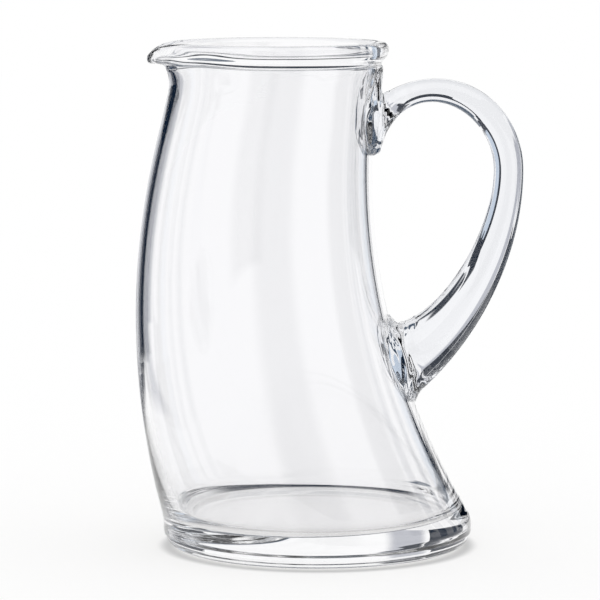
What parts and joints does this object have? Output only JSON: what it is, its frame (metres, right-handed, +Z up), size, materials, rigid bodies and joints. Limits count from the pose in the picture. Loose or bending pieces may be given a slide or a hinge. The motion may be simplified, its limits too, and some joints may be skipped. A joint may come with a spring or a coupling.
{
  "type": "beer pitcher",
  "caption": "Free-standing clear glass pitcher with a leaning bent body, thick base, rounded rim with a pulled pouring lip, and a solid drawn handle fused to the wall.",
  "frame": {"origin": "centre of the flat foot, on the table", "axes": "+Z up, -X towards the pouring lip, +X towards the handle"},
  "size_m": [0.1762, 0.1408, 0.23],
  "materials": {
    "body_glass": "blown and fire polished, clear and colourless",
    "handle_glass": "drawn and fire polished, clear with a faint cool cast in the thick parts"
  },
  "bodies": {
    "root": {"base": "body_glass", "body_wall": "body_glass", "rim_bead": "body_glass", "pouring_lip": "body_glass", "upper_handle_pad": "handle_glass", "handle_bow": "handle_glass", "lower_handle_pad": "handle_glass"}
  },
  "joints": []
}
